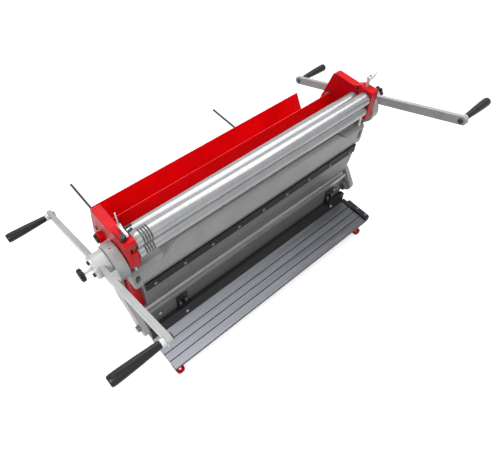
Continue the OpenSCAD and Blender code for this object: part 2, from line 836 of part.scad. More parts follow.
module clutch_knob() color("black") difference() {
    core_r = knob_d / 2 - lobe_r;
    translate([0, shaft_y, shaft_z]) {
        x_rod(knob_x, knob_x + knob_t, core_r, 0, 0);
        for (i = [0:lobes - 1]) rotate([i * full_turn / lobes, 0, 0])
            x_rod(knob_x + lobe_inset, knob_x + knob_t - lobe_inset, lobe_r, core_r, 0);
    }
    x_rod(knob_x - over, knob_x + knob_t / 2, clutch_r + shank_gap, shaft_y, shaft_z);
}

module left_clutch_rod() mirror([1, 0, 0]) clutch_rod();
module right_clutch_rod() clutch_rod();
module left_clutch_knob() mirror([1, 0, 0]) clutch_knob();
module right_clutch_knob() clutch_knob();

// Eccentrics and connecting rods

oil_hole_r = 3;
oil_hole_angle = 84;

module eccentric() color("gainsboro") difference() {
    x_rod(strap_x, strap_out_x, sheave_r, sheave_y, sheave_z);
    x_rod(strap_x - over, strap_out_x + over, shaft_r + fit, shaft_y, shaft_z);
}

module left_eccentric() mirror([1, 0, 0]) eccentric();
module right_eccentric() eccentric();

// Outline of the shank from the strap down to the eye and up again. Across, in shares of the
// bow behind the pin; up, in shares of the height from the pin to the sheave's centre; corner
// radius in shares of that height
bow = 138;
rear_shares = [[0.61, 1, 0], [0.884, 0.72, 0.274], [1, 0.514, 0.343], [1, 0.262, 0.104],
    [0.942, 0.157, 0.0567], [0.507, 0.08, 0.343], [0.16, -0.075, 0]];
front_shares = [[-0.2, 0.059, 0], [0.072, 0.178, 0.456], [0.362, 0.273, 0.135],
    [0.493, 0.444, 0.456], [0.362, 0.718, 0.456], [-0.23, 0.93, 0]];

module connecting_rod() color("gainsboro") difference() {
    span = sheave_z - pin_h;
    union() {
        x_rod(strap_x, strap_out_x, strap_r, sheave_y, sheave_z);
        x_rod(rod_x, rod_out_x, eye_r, pin_y, pin_h);
        along_x(rod_x, rod_out_x) polygon(rounded([for (s = concat(rear_shares, front_shares))
            [pin_y + s[0] * bow, pin_h + s[1] * span, s[2] * span]]));
    }
    x_rod(strap_x - over, strap_out_x + over, sheave_r + fit, sheave_y, sheave_z);
    x_rod(rod_x - over, rod_out_x + over, pin_r + shank_gap, pin_y, pin_h);
    translate([(strap_x + strap_out_x) / 2, sheave_y, sheave_z]) rotate([oil_hole_angle - 90, 0, 0])
        translate([0, 0, sheave_r]) cylinder(h = strap_r - sheave_r + over, r = oil_hole_r);
}

module left_connecting_rod() mirror([1, 0, 0]) connecting_rod();
module right_connecting_rod() connecting_rod();

washer_r = 16;
washer_t = 3;
pin_head_h = 9;
pin_head_share = 0.8;

module ram_pin() color("silver") {
    x_rod(ram_half + gap, rod_out_x, pin_r, pin_y, pin_h);
    x_rod(rod_out_x, rod_out_x + washer_t, washer_r, pin_y, pin_h);
    translate([rod_out_x + washer_t, pin_y, pin_h]) rotate([0, 90, 0])
        cylinder(h = pin_head_h, r = pin_head_share * pin_d, $fn = 6);
}

module left_ram_pin() mirror([1, 0, 0]) ram_pin();
module right_ram_pin() ram_pin();

// Upper beam with clamp strip and punch plates

beam_bolt_r = 5;
beam_bolt_head_r = 6.5;
beam_bolt_head_h = 9;
beam_bolt_len = 30;
beam_bays = 7;
beam_bay_end = 30;

// Upper edge of the beam: a bar at the height of the stepped ends, and the raised middle,
// whose ramps run on down into it
ramp_low_x = beam_half - boss_w;
ramp_top_x = ramp_low_x - ramp_w;
edge_low = boss_top_h - 2 * beam_round;
ramp_foot_x = ramp_top_x + ramp_w / boss_step * (beam_top_h - edge_low);

module edge_bar(half, top) {
    along_x(-half, half) polygon(rounded([[front_y, edge_low, 0], [front_y, top, 0],
        [-beam_reach, top, beam_round], [-beam_reach, edge_low, 0]]));
}

module beam_edge() {
    intersection() {
        edge_bar(beam_half, boss_top_h);
        along_y(-beam_reach - over, front_y + over) polygon(rounded([
            [-beam_half, edge_low, 0], [beam_half, edge_low, 0],
            [beam_half, boss_top_h, edge_r], [-beam_half, boss_top_h, edge_r]]));
    }
    intersection() {
        edge_bar(ramp_foot_x, beam_top_h);
        along_y(-beam_reach - over, front_y + over) polygon([
            [-ramp_foot_x, edge_low], [ramp_foot_x, edge_low],
            [ramp_top_x, beam_top_h], [-ramp_top_x, beam_top_h]]);
    }
}

module beam_pocket(r, y) {
    half = bolt_pocket_h / 2 - r;
    for (s = [-1, 1])
        y_rod(-beam_reach - over, y, r, beam_bolt_x, beam_bolt_z + s * half);
    box([beam_bolt_x - r, -beam_reach - over, beam_bolt_z - half], [beam_bolt_x + r, y, beam_bolt_z + half]);
}

module clamp_row() {
    for (i = [0:screw_count - 1])
        translate([(i - (screw_count - 1) / 2) * screw_step, 0, screw_z]) children();
}

module clamp_holes(y0, y1) {
    clamp_row() y_rod(y0, y1, screw_r + shank_gap, 0, 0);
}

module upper_beam() color("darkgray") difference() {
    union() {
        along_y(-beam_reach, front_y) polygon(rounded([
            [-beam_half, beam_low, beam_end_r], [beam_half, beam_low, beam_end_r],
            [beam_half, edge_low, 0], [-beam_half, edge_low, 0]]));
        beam_edge();
        box([-plate_half, tongue_y, lip_low], [plate_half, front_y, beam_low]);
    }
    both_ends() {
        beam_pocket(bolt_pocket_r, bolt_pocket_d - beam_reach);
        y_rod(-beam_reach, front_y + over, beam_bolt_r + shank_gap, beam_bolt_x, beam_bolt_z);
        z_rod(jack_low, boss_top_h + over, jack_spot_r, jack_x, jack_y);
    }
    pockets(in_x - beam_bay_end, beam_bays, pocket_wall - beam_reach, beam_low + pocket_wall,
        boss_top_h - pocket_wall);
    clamp_holes(tongue_y - over, front_y - screw_r);
}

module beam_bolts() color("dimgray") both_ends() {
    y0 = bolt_pocket_d - beam_reach;
    y_rod(y0 - beam_bolt_head_h, y0, beam_bolt_head_r, beam_bolt_x, beam_bolt_z);
    y_rod(y0, front_y + beam_bolt_len - gap, beam_bolt_r, beam_bolt_x, beam_bolt_z);
}

// Jack screws that carry the lower roll's bearings, on spot faces of the beam's ends
jack_inset = 9;
jack_x = in_x + jack_inset;
jack_y = -14;
jack_r = 5;
jack_head_r = 7;
jack_head_h = 9;
jack_spot_r = 8.5;
jack_spot_d = 1.5;
jack_low = boss_top_h - jack_spot_d;

module jack_screws() color("silver") both_ends() {
    z_rod(jack_low, slot_low_z - slot_r, jack_r, jack_x, jack_y);
    translate([jack_x, jack_y, jack_low]) cylinder(h = jack_head_h, r = jack_head_r, $fn = 6);
    z_rod(head_under_h - jack_head_h / 2, head_under_h, jack_head_r, jack_x, jack_y);
}

module clamp_strip() color("darkslategray") difference() {
    box([-strip_half, -beam_reach - strip_t, strip_low], [strip_half, -beam_reach, strip_top_h]);
    clamp_holes(-beam_reach - strip_t - over, -beam_reach + over);
}

module clamp_screws() color("silver") clamp_row() {
    y_rod(-beam_reach - strip_t - screw_head_h, -beam_reach - strip_t, screw_head_r, 0, 0);
    y_rod(-beam_reach - strip_t, front_y - screw_r - over, screw_r, 0, 0);
}

// Punch plates: joints in shares of the half width, side view across and up
joint_shares = [-1, -0.825, -0.636, 1];
nose_h = 6;
nose_w = 4;
plate_curve_share = 0.83;

module punch_plates() color("gray") difference() {
    mid_z = (strip_low + punch_h) / 2;
    curve_r = plate_curve_share * (strip_low - punch_h);
    for (i = [0:len(joint_shares) - 2])
        along_x(joint_shares[i] * plate_half + (i > 0 ? gap : 0), joint_shares[i + 1] * plate_half)
            polygon(rounded([
                [tongue_y, beam_low, 0], [-beam_reach, beam_low, 0], [-beam_reach, strip_low, 0],
                [die_y - plate_t, mid_z, curve_r], [die_y - nose_w / 2, punch_h + nose_h, 0],
                [die_y, punch_h, 0], [die_y + nose_w / 2, punch_h + nose_h, 0],
                [tongue_y + nose_w, mid_z, curve_r], [tongue_y, lip_low, 0]]));
    clamp_holes(-beam_reach - over, tongue_y + over);
}

// Table with its three scribed grooves, lower blade and side gauge

scribes = 3;
scribe_w = 3;
scribe_d = 1.5;
scribe_first = 37;
scribe_pitch = 36;
rib_w = 34;
rib_h = 30;

module table() color("lightslategray") difference() {
    union() {
        box([-table_half, table_front, base_top], [table_half, lower_blade_front, table_h]);
        box([gap - base_in_x, lower_blade_front - rib_w, base_top - rib_h],
            [base_in_x - gap, lower_blade_front, base_top]);
    }
    for (i = [0:scribes - 1]) {
        y = table_front + scribe_first + i * scribe_pitch;
        box([-table_half - over, y, table_h - scribe_d], [table_half + over, y + scribe_w, table_h + over]);
    }
}

module lower_blade() color("silver") {
    box([-ram_half, lower_blade_front, base_top], [ram_half, lower_blade_back, table_h]);
}

// Side gauge: a plate with a fence along the table's right edge
gauge_w = 32;
gauge_neck_w = 17;
gauge_neck_len = 23;
gauge_up = 7;
gauge_down = 12;
gauge_round = 16;
fence_w = 8;
fence_up = 4;
fence_share = 0.61;
gauge_screw_shares = [0.14, 0.45];
gauge_hole_shares = [0.27, 0.6];
gauge_screw_r = 3;
gauge_head_r = 6;
gauge_head_h = 4;
gauge_hole_r = 2;
gauge_hole_d = 5;

// Places its children above the gauge's top at the given shares of the table's depth
module on_gauge(shares) {
    for (s = shares)
        translate([table_half + (gauge_w + fence_w) / 2, table_front + s * table_d, table_h + gauge_up])
            children();
}

module side_gauge() color("dimgray") difference() {
    neck_y = lower_blade_front - gauge_neck_len;
    union() {
        translate([0, 0, table_h - gauge_down]) linear_extrude(gauge_up + gauge_down) polygon(rounded([
            [table_half, table_front, 0], [table_half + gauge_w, table_front, gauge_round],
            [table_half + gauge_w, neck_y, gauge_round / 2], [table_half + gauge_neck_w, neck_y, edge_r / 2],
            [table_half + gauge_neck_w, lower_blade_front, edge_r / 2], [table_half, lower_blade_front, 0]]));
        box([table_half, table_front, table_h],
            [table_half + fence_w, table_front + fence_share * table_d, table_h + gauge_up + fence_up]);
    }
    on_gauge(gauge_screw_shares) z_rod(-gauge_up, over, gauge_screw_r + shank_gap, 0, 0);
    on_gauge(gauge_hole_shares) z_rod(-gauge_hole_d, over, gauge_hole_r, 0, 0);
}

module side_gauge_screw() color("silver") on_gauge(gauge_screw_shares) {
    z_rod(gap - gauge_up, 0, gauge_screw_r, 0, 0);
    z_rod(0, gauge_head_h, gauge_head_r, 0, 0);
}

// Rear tray: a channel folded from sheet, hung between the end frames on spacers

tray_side_gap = 14;
tray_half = in_x - tray_side_gap;
tray_front_y = 148;
tray_drop = 89;
tray_front_z = hump_h - tray_drop;
ear_t = 3;
ear_w = 44;
ear_h = 26;
hem_h = 12;
// Bolt hole of an ear: behind the front wall and below the wall's edge
ear_bolt_u = 18.5;
ear_bolt_w = 7.5;
tray_bolt_y = tray_front_y + ear_bolt_u * cos(tray_tilt) - ear_bolt_w * sin(tray_tilt);
tray_bolt_z = tray_front_z - ear_bolt_u * sin(tray_tilt) - ear_bolt_w * cos(tray_tilt);
tray_bolt_r = 5;
tray_bolt_head_r = 7;
tray_bolt_head_h = 5;
spacer_r = 10;

// Local plane of the tray: across along its floor, up along its walls
module in_tray() {
    translate([0, tray_front_y, tray_front_z]) rotate([-tray_tilt, 0, 0])
        translate([0, 0, -tray_wall_h]) children();
}

module rear_tray() color("firebrick") difference() {
    in_tray() {
        along_x(-tray_half, tray_half) polygon([
            [0, 0], [tray_w, 0], [tray_w, tray_wall_h], [tray_w - tray_t, tray_wall_h],
            [tray_w - tray_t, tray_t], [tray_t, tray_t], [tray_t, tray_wall_h - hem_h],
            [2 * tray_t, tray_wall_h - hem_h], [2 * tray_t, tray_wall_h], [0, tray_wall_h]]);
        both_ends() along_x(tray_half - ear_t, tray_half) polygon(rounded([
            [tray_t, tray_wall_h - ear_h, 0], [ear_w, tray_wall_h - ear_h, edge_r],
            [ear_w, tray_wall_h, edge_r], [tray_t, tray_wall_h, 0]]));
    }
    both_ends()
        x_rod(tray_half - 2 * ear_t, tray_half + over, tray_bolt_r + shank_gap, tray_bolt_y, tray_bolt_z);
}

module tray_bolts() color("silver") both_ends() {
    ear_x = tray_half - ear_t;
    x_rod(ear_x, out_x, tray_bolt_r, tray_bolt_y, tray_bolt_z);
    x_rod(tray_half, in_x, spacer_r, tray_bolt_y, tray_bolt_z);
    x_rod(out_x, out_x + tray_bolt_head_h, tray_bolt_head_r, tray_bolt_y, tray_bolt_z);
    x_rod(ear_x - tray_bolt_head_h, ear_x, tray_bolt_head_r, tray_bolt_y, tray_bolt_z);
}

// Ram with die, blade, keepers, hold-down and gauge rods; heights in shares of the ram's

keeper_low_share = 0.155;
keeper_top_share = 0.84;
ram_bolt_share = 0.56;
gauge_rod_share = 0.394;
keeper_low = ram_low + keeper_low_share * ram_h;
keeper_top = ram_low + keeper_top_share * ram_h;
keeper_reach = 53;
keeper_x = in_x - keeper_reach;
keeper_d = 32;
ram_bolt_inset = 35;
ram_bolt_x = in_x - ram_bolt_inset;
ram_bolt_z = ram_low + ram_bolt_share * ram_h;
ram_bolt_r = 5;
ram_bolt_head_r = 8;
ram_bolt_head_h = 6;
ram_cbore_r = 11;
ram_cbore_rise = 14;
ram_bays = 6;
bay_end = 28;
gauge_rod_x = in_x - rod_inset;
gauge_rod_z = ram_low + gauge_rod_share * ram_h;

module ram_lugs() both_ends() {
    x_rod(ram_half - over, lug_out_x, ram_lug_r, lug_y, pin_h);
    box([ram_half - over, lug_y, pin_h - ram_lug_r], [lug_out_x, ram_back, pin_h + ram_lug_r]);
}

module ram() color("dimgray") difference() {
    union() {
        box([-ram_half, -ram_reach, ram_low], [ram_half, ram_back, ram_top]);
        difference() {
            ram_lugs();
            box([-ram_half, -ram_reach - ram_lug_r, ram_low], [ram_half, -ram_reach, ram_top]);
        }
    }
    both_ends() {
        x_rod(ram_half, lug_out_x + over, lug_hole_r, lug_y, pin_h);
        for (rise = [0, ram_cbore_rise])
            y_rod(-ram_reach - over, ram_bolt_head_h - ram_reach, ram_cbore_r, ram_bolt_x, ram_bolt_z + rise);
        box([ram_bolt_x - ram_cbore_r, -ram_reach - over, ram_bolt_z],
            [ram_bolt_x + ram_cbore_r, ram_bolt_head_h - ram_reach, ram_bolt_z + ram_cbore_rise]);
        y_rod(-ram_reach, ram_back + over, ram_bolt_r + shank_gap, ram_bolt_x, ram_bolt_z);
        y_rod(ram_bolt_head_h - ram_reach, ram_back + over, rod_d / 2 + shank_gap, gauge_rod_x, gauge_rod_z);
    }
    pockets(gauge_rod_x - bay_end, ram_bays, pocket_wall - ram_reach, upper_blade_top + pocket_wall,
        die_low - 2 * pocket_wall);
    box([-ram_half - over, -ram_reach - over, die_low], [ram_half + over, die_front + die_w, ram_top + over]);
    box([-ram_half - over, -ram_reach - over, ram_low - over],
        [ram_half + over, shear_y + upper_blade_t, upper_blade_top]);
}

module bending_die() color("dimgray") difference() {
    side = die_groove + over;
    box([-ram_half, die_front, die_low], [ram_half, die_front + die_w, die_h]);
    along_x(-ram_half - over, ram_half + over)
        polygon([[die_y, die_h - die_groove], [die_y + side, die_h + over], [die_y - side, die_h + over]]);
}

module upper_blade() color("silver") {
    box([-ram_half, shear_y, upper_blade_low], [ram_half, shear_y + upper_blade_t, upper_blade_top]);
}

module ram_keepers() color("dimgray") both_ends() difference() {
    union() {
        box([keeper_x, ram_back, keeper_low], [in_x - gap, ram_back + keeper_d, keeper_top]);
        box([keeper_x, groove_y + gap, keeper_low],
            [in_x + groove_d - gap, groove_y + groove_w - gap, keeper_top]);
    }
    y_rod(ram_back - over, ram_back + keeper_d + over, ram_bolt_r + shank_gap, ram_bolt_x, ram_bolt_z);
}

module hex_head(r, h) {
    rotate([-90, 0, 0]) cylinder(h = h, r = r, $fn = 6);
}

module ram_bolts() color("silver") {
    both_ends() {
        translate([ram_bolt_x, -ram_reach, ram_bolt_z]) hex_head(ram_bolt_head_r, ram_bolt_head_h);
        y_rod(ram_bolt_head_h - ram_reach, ram_back + keeper_d, ram_bolt_r, ram_bolt_x, ram_bolt_z);
    }
    at_brackets() {
        translate([0, tongue_front - stop_head_h, stop_z]) hex_head(stop_head_r, stop_head_h);
        y_rod(tongue_front, hold_front - gap, stop_r, 0, stop_z);
    }
}

// Hold-down bar on two pairs of guide rods, which hang in brackets on the ram's face. Each
// bracket has a plate, a shelf for the rods and a tongue ahead of the bar with a stop screw
left_bracket_inset = 135;
right_bracket_inset = 78;
guide_half = 14;
guide_r = 4;
guide_y = hold_back - hold_t / 2;
guide_seat = 22;
guide_lift = 12;
nut_r = 6.5;
nut_h = 6;
bracket_lift = 7;
bracket_low = hold_top + bracket_lift;
bracket_share = 0.74;
bracket_top = bracket_low + bracket_share * (die_low - bracket_low);
bracket_w = 52;
bracket_t = 4;
shelf_w = 46;
shelf_t = 14;
tongue_half = 10;
tongue_t = 6;
tongue_gap = 4;
tongue_back = hold_front - tongue_gap;
tongue_front = tongue_back - tongue_t;
tongue_drop = 29;
tongue_low = hold_top - tongue_drop;
tongue_r = 8;
stop_rise = 10;
stop_z = tongue_low + stop_rise;
stop_r = 4;
stop_head_r = 7;
stop_head_h = 5;
hold_corner_r = 24;

module at_brackets() {
    translate([left_bracket_inset - in_x, 0, 0]) children();
    translate([in_x - right_bracket_inset, 0, 0]) children();
}

module at_guides() {
    at_brackets() for (s = [-1, 1]) translate([s * guide_half, guide_y, 0]) children();
}

module hold_down_bar() color("black") difference() {
    along_y(hold_front, hold_back) polygon(rounded([
        [-hold_half, hold_low, 0], [hold_half, hold_low, 0],
        [hold_half, hold_top, hold_corner_r], [-hold_half, hold_top, hold_corner_r]]));
    at_guides() z_rod(hold_top - guide_seat, hold_top + over, guide_r + shank_gap, 0, 0);
}

module hold_down_rods() color("silver") at_guides() {
    nut_z = bracket_low + shelf_t + guide_lift;
    z_rod(hold_top - guide_seat, nut_z + nut_h, guide_r, 0, 0);
    translate([0, 0, nut_z]) cylinder(h = nut_h, r = nut_r, $fn = 6);
}

module hold_down_brackets() color("black") difference() {
    at_brackets() {
        box([-bracket_w / 2, -ram_reach - bracket_t, bracket_low], [bracket_w / 2, -ram_reach, bracket_top]);
        box([-shelf_w / 2, tongue_front, bracket_low], [shelf_w / 2, -ram_reach, bracket_low + shelf_t]);
        along_y(tongue_front, tongue_back) polygon(rounded([
            [-tongue_half, tongue_low, tongue_r], [tongue_half, tongue_low, tongue_r],
            [tongue_half, bracket_low + over, 0], [-tongue_half, bracket_low + over, 0]]));
    }
    at_guides() z_rod(bracket_low - over, bracket_low + shelf_t + over, guide_r + fit, 0, 0);
    at_brackets() y_rod(tongue_front - over, tongue_back + over, stop_r + shank_gap, 0, stop_z);
}

module gauge_rods() color("dimgray") both_ends() {
    y_rod(ram_bolt_head_h - ram_reach, rod_reach, rod_d / 2, gauge_rod_x, gauge_rod_z);
}

// Back gauge bar on the rods
gauge_y = 300;
gauge_bar_t = 12;
gauge_bar_h = 40;
gauge_end = 26;
clamp_len = 16;
clamp_r = 12;
thumb_r = 4;
thumb_h = 22;

module gauge_bar() color("dimgray") difference() {
    half = gauge_rod_x + gauge_end;
    back_y = gauge_y + gauge_bar_t;
    box([-half, gauge_y, gauge_rod_z - gauge_bar_h / 2], [half, back_y, gauge_rod_z + gauge_bar_h / 2]);
    both_ends() y_rod(gauge_y - over, back_y + over, rod_d / 2 + fit, gauge_rod_x, gauge_rod_z);
}

module gauge_clamps() color("silver") both_ends() difference() {
    y0 = gauge_y + gauge_bar_t;
    union() {
        y_rod(y0, y0 + clamp_len, clamp_r, gauge_rod_x, gauge_rod_z);
        z_rod(gauge_rod_z, gauge_rod_z + thumb_h, thumb_r, gauge_rod_x, y0 + clamp_len / 2);
    }
    y_rod(gauge_y, y0 + clamp_len + over, rod_d / 2 + fit, gauge_rod_x, gauge_rod_z);
}

left_end_frame();
right_end_frame();
upper_beam();
beam_bolts();
jack_screws();
punch_plates();
clamp_strip();
clamp_screws();
table();
lower_blade();
side_gauge();
side_gauge_screw();
rear_tray();
tray_bolts();
shaft_bushes();
roll_bearing_blocks();
pivot_caps();
head_pins();
release_bolt();
release_lever();
release_peg();
cam_stud();
cam_lever();
upper_roll();
lower_roll();
rear_roll();
roll_pinion();
shaft_gear();
crank_shaft();
crank_hubs();
hub_caps();
hub_cap_bolts();
crank_bars();
grip_bolts();
grip_collars();
left_front_grip();
left_rear_grip();
right_front_grip();
right_rear_grip();
left_clutch_knob();
right_clutch_knob();
left_clutch_rod();
right_clutch_rod();
left_eccentric();
right_eccentric();
left_connecting_rod();
right_connecting_rod();
left_ram_pin();
right_ram_pin();
ram();
bending_die();
upper_blade();
ram_keepers();
ram_bolts();
hold_down_bar();
hold_down_rods();
hold_down_brackets();
gauge_rods();
gauge_bar();
gauge_clamps();
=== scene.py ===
"""Looks of the combination sheet metal machine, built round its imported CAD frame.

Metres throughout, in the frame's axes: X along the machine, operator on the -Y side, Z up.
"""
import json
import math

import bmesh
import bpy
from mathutils import Matrix, Vector


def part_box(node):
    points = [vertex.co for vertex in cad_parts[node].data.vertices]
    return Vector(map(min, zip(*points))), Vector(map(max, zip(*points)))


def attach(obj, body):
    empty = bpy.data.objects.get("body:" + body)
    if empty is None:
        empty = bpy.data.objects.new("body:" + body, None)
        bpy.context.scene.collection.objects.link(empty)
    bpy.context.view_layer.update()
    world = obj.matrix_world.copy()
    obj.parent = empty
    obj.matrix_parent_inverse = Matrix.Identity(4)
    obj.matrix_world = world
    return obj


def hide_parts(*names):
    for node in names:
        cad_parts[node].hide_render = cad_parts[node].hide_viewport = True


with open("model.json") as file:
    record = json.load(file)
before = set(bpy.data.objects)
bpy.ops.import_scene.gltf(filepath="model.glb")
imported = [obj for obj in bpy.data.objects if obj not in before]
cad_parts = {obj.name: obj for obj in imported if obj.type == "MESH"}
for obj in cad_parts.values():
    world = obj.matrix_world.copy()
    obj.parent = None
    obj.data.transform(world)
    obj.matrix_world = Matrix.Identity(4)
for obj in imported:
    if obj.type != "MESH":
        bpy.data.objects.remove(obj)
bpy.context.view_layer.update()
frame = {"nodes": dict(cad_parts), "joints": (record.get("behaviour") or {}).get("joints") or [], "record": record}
nodes = frame["nodes"]
behaviour = frame["record"]["behaviour"]
carrier = {node: body for body, members in behaviour["bodies"].items() for node in members}
axles = {joint["child"]: joint["pos_m"] for joint in frame["joints"] if "pos_m" in joint}


# Camera, floor and light

# The photograph's view: where its eye stands, and what lies right, down and ahead of it
EYE = (-0.8121, -0.8, 1.882)
RIGHT = (0.75187336, -0.65814346, 0.0391616)
DOWN = (-0.51258488, -0.62087637, -0.5931014)
AHEAD = (0.41466032, 0.4258635, -0.80417479)
LENS_MM = 33.93
FILM_MM = 36.0
FAR_CLIP = 20.0

# Light that the room gives the object, and the white that the camera sees
ROOM_TINT = (0.93, 0.96, 1.0)
ROOM_LIGHT = 0.34
WHITE = (1.0, 1.0, 1.0)
BACKDROP_LIGHT = 1.0

FLOOR_REACH = 8.0
FLOOR_LEVEL = -0.0005
FLOOR_BOUNCE = 0.3
FLOOR_PAPER = 0.85
FLOOR_GLOW = 0.6

# Soft lamps: place, target, width, height, watts
LAMPS = {
    "ceiling_box": ((0.8, 0.7, 2.7), (0.4, 0.4, 0.5), 3.6, 1.8, 62.0),
    "left_box": ((-1.3, -0.7, 1.8), (-0.45, -0.1, 0.1), 0.7, 0.7, 15.0),
    "front_fill": ((-0.6, -2.6, 2.2), (0, 0, 0.4), 2.2, 1.0, 7.0),
}


def place_in_scene(name, data):
    holder = bpy.data.objects.new(name, data)
    bpy.context.collection.objects.link(holder)
    return holder


def place_camera():
    lens = bpy.data.cameras.new("viewpoint")
    lens.sensor_fit = "HORIZONTAL"
    lens.sensor_width = FILM_MM
    lens.lens = LENS_MM
    lens.clip_end = FAR_CLIP
    camera = place_in_scene("viewpoint", lens)
    turn = Matrix((Vector(RIGHT), -Vector(DOWN), -Vector(AHEAD))).transposed().to_4x4()
    turn.translation = EYE
    camera.matrix_world = turn
    bpy.context.scene.camera = camera


def light_path_mix(tree, lit, shown):
    """Shows one shader to the camera, mirrors and glass, and the other to everything else."""
    path = tree.nodes.new("ShaderNodeLightPath")
    seen = path.outputs["Is Camera Ray"]
    for ray in ("Is Glossy Ray", "Is Transmission Ray"):
        either = tree.nodes.new("ShaderNodeMath")
        either.operation = "MAXIMUM"
        tree.links.new(seen, either.inputs[0])
        tree.links.new(path.outputs[ray], either.inputs[1])
        seen = either.outputs[0]
    mix = tree.nodes.new("ShaderNodeMixShader")
    tree.links.new(seen, mix.inputs[0])
    tree.links.new(lit.outputs[0], mix.inputs[1])
    tree.links.new(shown.outputs[0], mix.inputs[2])
    return mix


def light_world():
    world = bpy.data.worlds.new("studio")
    world.use_nodes = True
    bpy.context.scene.world = world
    tree = world.node_tree
    tree.nodes.clear()

    def background(color, strength):
        node = tree.nodes.new("ShaderNodeBackground")
        node.inputs["Color"].default_value = (*color, 1.0)
        node.inputs["Strength"].default_value = strength
        return node

    room = background(ROOM_TINT, ROOM_LIGHT)
    backdrop = background(WHITE, BACKDROP_LIGHT)
    out = tree.nodes.new("ShaderNodeOutputWorld")
    tree.links.new(light_path_mix(tree, room, backdrop).outputs[0], out.inputs["Surface"])


def soft_lamp(name, place, target, width, height, watts):
    lamp = bpy.data.lights.new(name, "AREA")
    lamp.shape = "RECTANGLE"
    lamp.size = width
    lamp.size_y = height
    lamp.energy = watts
    aim = (Vector(target) - Vector(place)).to_track_quat("-Z", "Y").to_matrix().to_4x4()
    place_in_scene(name, lamp).matrix_world = Matrix.Translation(place) @ aim


def floor_paper():
    """Grey to the light that it bounces back, bright to the camera, and still shadowed."""
    paper = bpy.data.materials.new("floor_paper")
    paper.use_nodes = True
    tree = paper.node_tree
    tree.nodes.clear()

    def matte(grey):
        node = tree.nodes.new("ShaderNodeBsdfDiffuse")
        node.inputs["Color"].default_value = (grey, grey, grey, 1.0)
        return node

    bounce = matte(FLOOR_BOUNCE)
    glow = tree.nodes.new("ShaderNodeEmission")
    glow.inputs["Strength"].default_value = FLOOR_GLOW
    bright = tree.nodes.new("ShaderNodeAddShader")
    tree.links.new(matte(FLOOR_PAPER).outputs[0], bright.inputs[0])
    tree.links.new(glow.outputs[0], bright.inputs[1])
    out = tree.nodes.new("ShaderNodeOutputMaterial")
    tree.links.new(light_path_mix(tree, bounce, bright).outputs[0], out.inputs["Surface"])
    return paper


def lay_floor():
    mesh = bpy.data.meshes.new("floor")
    corners = [(x * FLOOR_REACH, y * FLOOR_REACH, FLOOR_LEVEL)
               for x, y in ((-1, -1), (1, -1), (1, 1), (-1, 1))]
    mesh.from_pydata(corners, [], [(0, 1, 2, 3)])
    mesh.materials.append(floor_paper())
    place_in_scene("floor", mesh)


# Finishes

# How a grain is drawn out: along the machine, round a turned piece, along a rod in Y, or not
ALONG = (0.02, 1, 1)
ACROSS = (1, 0.02, 0.02)
ALONG_ROD = (1, 0.02, 1)
EVEN = (1, 1, 1)
# The noise lies mostly between these two values
GRAIN_LOW = 0.35
GRAIN_HIGH = 0.65
# Ends of the machine between which the painted light on the table top falls off
LIGHT_FALL_LEFT = -0.56
LIGHT_FALL_RIGHT = 0.56
COAT_ROUGH = 0.12


